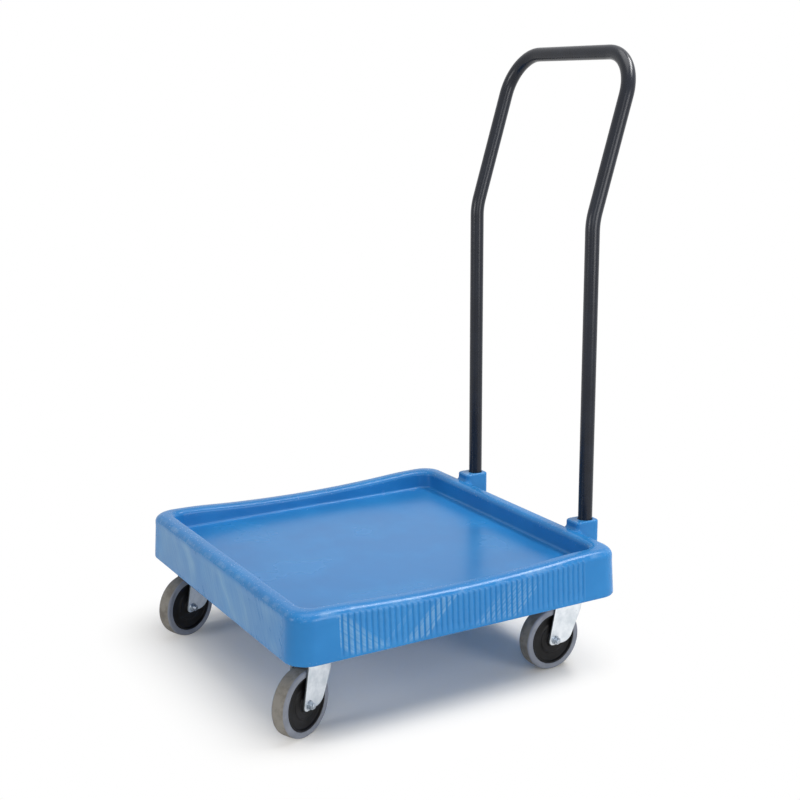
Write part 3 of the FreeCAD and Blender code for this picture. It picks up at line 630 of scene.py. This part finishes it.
for side, sign in (("left", 1), ("right", -1)):
    form = moved(socketForm(socket, platform), (sign * socket["spacing"] / 2, midY, 0))
    addPiece("handle_socket_" + side, form, blueFinish, "dolly", "blue_polyethylene")
print("sockets set")


# push handle

handle = {
    "radius": 12.0, "spacing": socket["spacing"], "legY": socket["tubeY"], "foot": 141.0, "bend": 721.0,
    "bar": 988.0, "lean": 17.0, "lowRound": 110.0, "topRound": 72.0, "segments": 56, "arcSteps": 26,
}


def handlePath(h):
    # straight runs and arcs from one foot to the other, with the lean of the plane that each place lies in
    lean = math.radians(h["lean"])
    rise = (h["bar"] - h["bend"]) / math.cos(lean)
    # flat drawing first: across, and along the leaning plane from the low bend up
    half = h["spacing"] / 2
    arch = rounded(((-half, 0, 0), (-half, rise, h["topRound"]), (half, rise, h["topRound"]), (half, 0, 0)),
                   h["arcSteps"], closed=False)
    side = rounded(((0, h["foot"] - h["bend"], 0), (0, 0, h["lowRound"]),
                    (rise * math.sin(lean), rise * math.cos(lean), 0)), h["arcSteps"], closed=False)[:-1]
    tilt = np.concatenate([[0], np.linspace(0, lean, len(side) - 1)])
    leg = np.stack([np.full(len(side), -half), side[:, 0], side[:, 1]], axis=-1)
    top = np.stack([arch[1:-1, 0], arch[1:-1, 1] * math.sin(lean), arch[1:-1, 1] * math.cos(lean)], axis=-1)
    path = np.vstack([leg, top, (leg * [-1, 1, 1])[::-1]])
    tilts = np.concatenate([tilt, np.full(len(top), lean), tilt[::-1]])
    return path + [0, h["legY"] + midY, h["bend"]], tilts


def tubeForm(h):
    # a circle carried along the path, square to it; one of its axes is the normal of the leaning plane
    path, tilts = handlePath(h)
    runs = np.diff(path, axis=0)
    runs /= np.linalg.norm(runs, axis=1, keepdims=True)
    way = np.vstack([runs[:1], runs[1:] + runs[:-1], runs[-1:]])
    way /= np.linalg.norm(way, axis=1, keepdims=True)
    across = np.stack([0 * tilts, np.cos(tilts), -np.sin(tilts)], axis=-1)
    other = np.cross(way, across)
    angle = roundAngles(h["segments"])[None, :, None]
    circle = np.cos(angle) * across[:, None] + np.sin(angle) * other[:, None]
    return gridForm(path[:, None] + h["radius"] * circle)


addPiece("bent_tube", tubeForm(handle), coatFinish, "dolly", "black_coated_steel", "push_handle")

screw = {
    "radius": 5.5, "tall": 3.6, "rim": 0.6, "sunk": 0.5, "level": 181.0, "seatY": socket["rear"],
    "hexWide": 4.0, "hexDeep": 2.2, "hexFlare": 1.05, "hexEdge": 0.2,
    "segments": 48, "domeSteps": 10, "domeRows": 7,
}


def hexReach(angle, wide):
    # distance to a hexagon's side: half its width over flats divided by the cosine to the nearest flat
    return wide / 2 / np.cos((angle + math.pi / 6) % (math.pi / 3) - math.pi / 6)


def screwForm(s):
    # a domed head along x: the rim's circle, an elliptic dome, then a hexagon that sinks into it
    angle = roundAngles(s["segments"])
    dome = np.linspace(0, math.pi / 2, s["domeSteps"])[1:s["domeRows"]]
    away = np.concatenate([[s["radius"]] * 2, s["radius"] * np.cos(dome)])
    hexagon = hexReach(angle, s["hexWide"])
    reach = np.vstack([away[:, None] + 0 * angle, [hexagon * s["hexFlare"], hexagon, hexagon]])
    along = np.concatenate([[-s["sunk"], s["rim"]], s["rim"] + (s["tall"] - s["rim"]) * np.sin(dome),
                            [s["tall"], s["tall"] - s["hexEdge"], s["tall"] - s["hexDeep"]]])
    points = np.stack([along[:, None] + 0 * angle, reach * np.cos(angle), reach * np.sin(angle)], axis=-1)
    return gridForm(points)


seats = [(sign * handle["spacing"] / 2, screw["seatY"] + midY, screw["level"]) for sign in (1, -1)]
heads = [moved(screwForm(screw), seat, 0.0, 1.0) for seat in seats]     # turned to face the rear
addPiece("handle_screw_heads", joined(*heads), steelFinish, "dolly", "zinc_plated_steel", "handle_screws")
print("handle bent and screwed in")


# casters: each one is drawn about its own swivel line or axle, then turned and set by its joints

corners = ("front_left", "front_right", "rear_left", "rear_right")
swivels = {corner: np.array(joints[corner + "_swivel"]["pos_m"]) / mm * [1, 1, 0] for corner in corners}
axles = {corner: np.array(joints[corner + "_roll"]["pos_m"]) / mm for corner in corners}
headings = {corner: joints[corner + "_roll"]["axis"][:2] for corner in corners}

swivelHead = {
    # corners of the turned sections: height, distance from the swivel line and rounding
    "plate": ((126.0, 6.05, 0.3), (126.0, 31.0, 1.2), (130.0, 31.0, 0.6), (130.0, 6.05, 0.3)),
    "pin": ((105.6, 0.2, 0), (105.6, 11.0, 1.6), (110.6, 11.0, 0.6), (110.6, 6.0, 0.3), (158.0, 6.0, 1.0),
            (158.0, 0.2, 0)),
    "crown": ((110.9, 6.2, 0.3), (110.9, 29.0, 0.9), (113.7, 29.0, 1.2), (113.7, 26.5, 1.5),
              (117.7, 24.5, 1.5), (117.7, 6.2, 0.3)),
    "race": ((117.7, 6.2, 0.3), (117.7, 22.4, 0.6), (119.6, 23.0, 0.6), (120.8, 23.0, 0.4),
             (121.2, 22.2, 0.2), (122.2, 22.2, 0.2), (122.6, 23.0, 0.4), (125.0, 23.0, 0.8),
             (125.7, 22.2, 0.4), (125.7, 6.2, 0.3)),
    "arcSteps": 5, "segments": 96, "pinSegments": 48,
}


def ringForm(name, s):
    # one of the sections above carried round the swivel line
    return turned(rounded(s[name], s["arcSteps"]), s["segments"], "z", looped=True)


def pinForm(s):
    # the pin's half section carried round the swivel line, with flat ends
    return turned(rounded(s["pin"], s["arcSteps"], closed=False), s["pinSegments"], "z")


fork = {
    "sheet": 2.8, "legX": 16.1, "crown": 112.3, "bend": 3.1, "frontTop": -30.0, "frontFoot": -44.6,
    "rearTop": 29.0, "rearFoot": -3.4, "top": 113.7, "foot": 44.0, "tipRound": 7.0, "heelRise": 1.2,
    "heelRound": 20.0, "curl": 4.2, "curlLow": 94.0, "curlHigh": 109.0, "leastTurn": 1e-4, "wallLow": 95.0,
    "soft": 0.5, "tipSteps": 12, "longest": 3.0, "legRows": 22, "bendSteps": 7, "wallRows": 8,
    "wallColumns": 9, "crownRows": 9, "crownColumns": 7,
}


def rearEdge(height, f):
    # the rear edge is straight: it goes forward evenly from the top down
    slope = (f["rearTop"] - f["rearFoot"]) / (f["top"] - f["foot"])
    return f["rearTop"] - slope * (f["top"] - height)


def legEdge(f):
    # the leg's lower edge in side view, from the front edge round the tip and heel to the rear edge
    heelZ = f["foot"] + f["heelRise"]
    side = rounded((
        (f["frontTop"], f["top"], 0), (f["frontFoot"], f["foot"], f["tipRound"]),
        (rearEdge(heelZ, f), heelZ, f["heelRound"]), (f["rearTop"], f["top"], 0)),
        f["tipSteps"], closed=False)
    return side[1:-1]


def legSurface(f):
    # rows climb from the lower edge to the crown; columns run from the front edge to the rear one, whose
    # last stretch curls in towards the rear wall higher up and lies flat below
    edge = divided(legEdge(f), f["longest"])
    # every column starts at one place of the lower edge and ends at a place spread evenly over the crown
    share = np.linspace(0, 1, len(edge))[None, :]
    climb = np.linspace(0, 1, f["legRows"])[:, None]
    start = f["crown"] - f["bend"]
    height = edge[:, 1] + climb * (start - edge[:, 1])
    fall = (f["top"] - height) / (f["top"] - f["foot"])
    front = f["frontTop"] + (f["frontFoot"] - f["frontTop"]) * fall
    rear = rearEdge(height, f)
    footShare = (edge[:, 0] - front[0]) / (rear[0] - front[0])
    mix = footShare + (share - footShare) * smooth(0, 1, climb)
    y = front + mix * (rear - front)
    # the curl: the last stretch of the width turns through a quarter circle of growing bend
    turn = np.maximum(smooth(f["curlLow"], f["curlHigh"], height) * math.pi / 2, f["leastTurn"])
    radius = f["curl"] * math.pi / 2 / turn
    begin = rear - radius * np.sin(turn)
    past = np.clip((y - begin) / (rear - begin), 0, 1) * turn
    curled = y > begin
    x = np.where(curled, f["legX"] - radius * (1 - np.cos(past)), f["legX"])
    y = np.where(curled, begin + radius * np.sin(past), y)
    wayX, wayY = np.where(curled, np.cos(past), 1.0), np.where(curled, np.sin(past), 0.0)
    # the bend into the crown: a quarter circle towards the inside
    angle = np.linspace(0, math.pi / 2, f["bendSteps"])[1:, None]
    drawn = f["bend"] * (1 - np.cos(angle))
    topX, topY = x[-1] - drawn * wayX[-1], y[-1] - drawn * wayY[-1]
    topZ = start + f["bend"] * np.sin(angle) + 0 * topX
    points = np.stack([np.vstack([x, topX]), np.vstack([y, topY]), np.vstack([height, topZ])], axis=-1)
    return gridForm(points, columnsClosed=False, capped=False)


def rearWall(f):
    # a straight sheet between the two curls that leans with the rear edge and bends into the crown
    start = f["crown"] - f["bend"]
    angle = np.linspace(0, math.pi / 2, f["bendSteps"])[1:]
    climb = np.linspace(f["wallLow"], start, f["wallRows"])
    height = np.concatenate([climb, start + f["bend"] * np.sin(angle)])[:, None]
    drawn = np.concatenate([0 * climb, f["bend"] * (1 - np.cos(angle))])[:, None]
    rear = rearEdge(np.minimum(height, start), f) - drawn
    x = np.linspace(-1, 1, f["wallColumns"]) * (f["legX"] - f["curl"])
    points = np.stack([x + 0 * height, rear + 0 * x, height + 0 * x], axis=-1)
    return gridForm(points, columnsClosed=False, capped=False)


def crownSheet(f):
    # the flat top between the bends, from the front edge to the rear wall
    rear = rearEdge(f["crown"] - f["bend"], f) - f["bend"]
    half = f["legX"] - f["bend"]
    y = np.linspace(f["frontTop"], rear, f["crownRows"])[:, None]
    wide = half - np.clip(y - rear + f["curl"] - f["bend"], 0, None)
    x = np.linspace(-1, 1, f["crownColumns"]) * wide
    points = np.stack([x, y + 0 * x, f["crown"] + 0 * x], axis=-1)
    return gridForm(points, columnsClosed=False, capped=False)


def forkForm(f):
    # one leg, the same leg with its sides swapped, the wall behind them and the sheet over them
    leg = legSurface(f)
    other = {**leg, "points": leg["points"] * [-1, 1, 1], "quads": leg["quads"][:, ::-1]}
    return joined(leg, other, rearWall(f), crownSheet(f))


axle = {
    # corners of the turned sections: along the axle, away from it and rounding
    "washer": ((17.3, 0.3, 0), (17.3, 7.3, 0.2), (18.7, 7.3, 0.5), (18.7, 0.3, 0)),
    "collar": ((23.4, 0.3, 0), (23.4, 4.7, 0.1), (25.1, 4.7, 0.8), (25.1, 4.2, 0.4), (24.1, 4.2, 0.1),
               (24.1, 0.3, 0)),
    "bolt": ((-21.1, 0.3, 0), (-21.1, 4.0, 0.2), (27.1, 4.0, 1.2), (27.1, 0.3, 0)),
    "nut": (18.7, 23.7), "head": (-23.7, -18.7), "hexWide": 11.0,
    # the hexagon's rows as a share of its length, and the cone's reach there as a share of a corner's
    "hexRows": (0, 0, 0.06, 0.14, 0.5, 0.86, 0.94, 1, 1),
    "hexTrim": (0.306, 0.9486, 1.02, 1.224, 1.224, 1.224, 1.02, 0.9486, 0.306),
    "arcSteps": 5, "boltSteps": 6, "segments": 72,
}


def hexForm(low, high, a):
    # six flats trimmed by a cone at both ends: the lesser of the hexagon's reach and the cone's
    angle = roundAngles(a["segments"])
    share, trim = np.array([a["hexRows"], a["hexTrim"]])[..., None]
    reach = np.minimum(hexReach(angle, a["hexWide"]), trim * a["hexWide"] / 2 / math.cos(math.pi / 6))
    along = low + (high - low) * share + 0 * angle
    return gridForm(np.stack([along, reach * np.cos(angle), reach * np.sin(angle)], axis=-1))


def axleForm(a):
    # washer, nut with its collar and the bolt's end on one side, washer and bolt head on the other
    washer, collar = (rounded(a[name], a["arcSteps"], closed=False) for name in ("washer", "collar"))
    bolt = rounded(a["bolt"], a["boltSteps"], closed=False)
    rounds = [turned(profile, a["segments"]) for profile in (washer, washer * [-1, 1], collar, bolt)]
    return joined(*rounds, hexForm(*a["nut"], a), hexForm(*a["head"], a))


wheel = {
    # corners of the turned sections: along the axle, away from it and rounding
    "tread": ((-12.2, 42.0, 0), (-13.0, 43.0, 0.6), (-13.0, 51.7, 3.6), (-6.0, 52.45, 12.0), (0, 52.5, 40.0),
              (6.0, 52.45, 12.0), (13.0, 51.7, 3.6), (13.0, 43.0, 0.6), (12.2, 42.0, 0)),
    # half of the hub: the bead, the sunk disc, the step and the spacer
    "hub": ((0, 42.0, 0), (12.5, 42.0, 0.4), (12.5, 39.4, 0.7),
            (8.5, 38.2, 1.6), (8.5, 27.0, 3.0),
            (9.4, 23.6, 0.5), (10.6, 23.0, 0.6), (11.2, 13.5, 1.0),
            (14.2, 12.5, 0.8), (14.2, 5.0, 0.6), (12.2, 4.1, 0)),
    "runAlong": (12.0, 8.5), "runAway": (42.0, 46.0),   # where the running face's tones start and are full
    "arcSteps": 8, "segments": 160,
}


def treadForm(w):
    # a closed section of a flat running face, round shoulders and plain side walls, turned about the axle
    section = rounded(w["tread"], w["arcSteps"])
    along, away = section.T
    running = smooth(*w["runAlong"], np.abs(along)) * smooth(*w["runAway"], away)
    return turned(section, w["segments"], looped=True, running=running)


def hubForm(w):
    # a flat bead at the rim, a sunk disc, a low step and a spacer at the bore, alike on both sides
    half = rounded(w["hub"], w["arcSteps"], closed=False)
    section = np.vstack([half[::-1], (half * [-1, 1])[1:]])
    return turned(section, w["segments"], looped=True)


plates = [moved(ringForm("plate", swivelHead), swivels[corner]) for corner in corners]
addPiece("swivel_plates", joined(*plates), zincFinish, "dolly", "zinc_plated_steel", "race_plates")
pins = [moved(pinForm(swivelHead), swivels[corner]) for corner in corners]
addPiece("stem_pins", joined(*pins), steelFinish, "dolly", "zinc_plated_steel", "caster_stems")
for corner in corners:
    body, turning = corner + "_caster", corner + "_wheel"
    heading = headings[corner]
    sheetForm = moved(forkForm(fork), swivels[corner], *heading)
    addPiece(corner + "_fork_sheet", sheetForm, zincFinish, body, "zinc_plated_steel", corner + "_fork",
             sheet=fork["sheet"], cut=cutShadeFinish, soft=fork["soft"])
    raised = moved(ringForm("crown", swivelHead), swivels[corner])
    addPiece(corner + "_fork_crown", raised, zincFinish, body, "zinc_plated_steel")
    sealed = moved(ringForm("race", swivelHead), swivels[corner])
    addPiece(corner + "_swivel_race", sealed, steelFinish, body, "zinc_plated_steel", corner + "_bearing")
    bolted = moved(axleForm(axle), axles[corner], *heading)
    addPiece(corner + "_axle_bolt", bolted, steelFinish, body, "zinc_plated_steel", corner + "_axle")
    core = moved(hubForm(wheel), axles[corner], *heading)
    addPiece(corner + "_wheel_core", core, coreFinish, turning, "black_polypropylene", corner + "_hub")
    tyre = moved(treadForm(wheel), axles[corner], *heading)
    addPiece(corner + "_tyre", tyre, rubberFinish, turning, "grey_rubber", corner + "_tread")
print("casters mounted")


# floor, light and camera

studio = {
    "floor": 12.0, "floorTone": (0.93, 0.91, 0.875), "floorRough": 0.9,
    "shadowHalf": (0.2, 0.2, 0), "shadowFade": 0.23, "sky": 0.19, "lampAim": (0, 0, 0.2),
    "lamps": (
        {"name": "overhead", "place": (0.0, 0.1, 3.2), "wide": 1.9, "tall": 1.9, "power": 34.0},
        {"name": "frontLamp", "place": (-0.1, -2.6, 1.0), "wide": 0.9, "tall": 0.9, "power": 16.5},
        {"name": "rearLamp", "place": (0.7, 1.4, 2.6), "wide": 1.6, "tall": 0.45, "power": 52.0},
        {"name": "rightLamp", "place": (2.75, 0.75, 0.8), "wide": 1.2, "tall": 1.2, "power": 26.0},
        {"name": "softLamp", "place": (2.35, -1.45, 1.3), "wide": 0.7, "tall": 1.5, "power": 11.0},
    ),
}


def paleFloor(s):
    # a wide pale sheet that takes the shadow and, away from a square under the platform, goes over into the
    # white of the room
    size = s["floor"]
    mesh = bpy.data.meshes.new("floor")
    rim = [(-size, -size, 0), (size, -size, 0), (size, size, 0), (-size, size, 0)]
    mesh.from_pydata(rim, [], [(0, 1, 2, 3)])
    f = Finish("paleFloor", Roughness=s["floorRough"], Base_Color=(*s["floorTone"], 1))
    steps = (("SUBTRACT", (0, midY * mm, 0)), ("ABSOLUTE", (0, 0, 0)), ("SUBTRACT", s["shadowHalf"]),
             ("MAXIMUM", (0, 0, 0)))
    place = f.place
    for operation, other in steps:
        place = f.node("ShaderNodeVectorMath", {"operation": operation}, {0: place, 1: other})
    away = f.node("ShaderNodeVectorMath", {"operation": "LENGTH"}, {0: place}, "Value")
    share = f.seen() * f.between(away, 0.0, s["shadowFade"])
    white = f.node("ShaderNodeEmission")
    mixed = f.node("ShaderNodeMixShader", {}, {0: share, 1: Signal(f, f.shader.outputs[0]), 2: white})
    f.feed(f.tree.nodes["Material Output"].inputs["Surface"], mixed)
    mesh.materials.append(f.material)
    floor = bpy.data.objects.new("floor", mesh)
    scene.collection.objects.link(floor)


def whiteRoom(s):
    # white to the eye and in reflections, and a weaker even light on everything
    world = bpy.data.worlds.new("whiteRoom")
    world.use_nodes = True
    room = Nodes(world.node_tree)
    back = world.node_tree.nodes["Background"]
    room.feed(back.inputs["Color"], (1, 1, 1, 1))
    room.feed(back.inputs["Strength"], room.between(room.seen(), 0, 1, s["sky"], 1.0))
    scene.world = world


def areaLamp(aim, name, place, wide, tall, power):
    # a lit rectangle that faces the point it is aimed at
    lamp = bpy.data.lights.new(name, "AREA")
    lamp.shape = "RECTANGLE"
    lamp.size, lamp.size_y, lamp.energy = wide, tall, power
    held = bpy.data.objects.new(name, lamp)
    held.rotation_euler = (Vector(place) - Vector(aim)).to_track_quat("Z", "Y").to_euler()
    held.location = place
    scene.collection.objects.link(held)


paleFloor(studio)
whiteRoom(studio)
for lamp in studio["lamps"]:
    areaLamp(studio["lampAim"], **lamp)

shot = {"place": (1.92056, -1.11048, 0.93687), "azimuth": 59.889, "elevation": 12.989, "roll": -0.323,
        "lens": 61.42, "sensor": 36.0}


def takeShot(s):
    # the camera's axes from its azimuth, elevation and a small roll about its own line of sight
    azimuth, elevation, roll = (math.radians(s[key]) for key in ("azimuth", "elevation", "roll"))
    back = np.array([math.sin(azimuth) * math.cos(elevation), -math.cos(azimuth) * math.cos(elevation),
                     math.sin(elevation)])
    right = np.array([math.cos(azimuth), math.sin(azimuth), 0])
    up = np.cross(back, right)
    rolled = math.cos(roll) * right + math.sin(roll) * up
    raised = math.cos(roll) * up - math.sin(roll) * right
    grid = np.eye(4)
    grid[:3, 0], grid[:3, 1], grid[:3, 2], grid[:3, 3] = rolled, raised, back, s["place"]
    camera = bpy.data.objects.new("camera", bpy.data.cameras.new("camera"))
    camera.matrix_world = Matrix(grid.tolist())
    camera.data.lens, camera.data.sensor_width = s["lens"], s["sensor"]
    scene.collection.objects.link(camera)
    scene.camera = camera


takeShot(shot)
scene.view_settings.view_transform = "Standard"
print("stage lit")
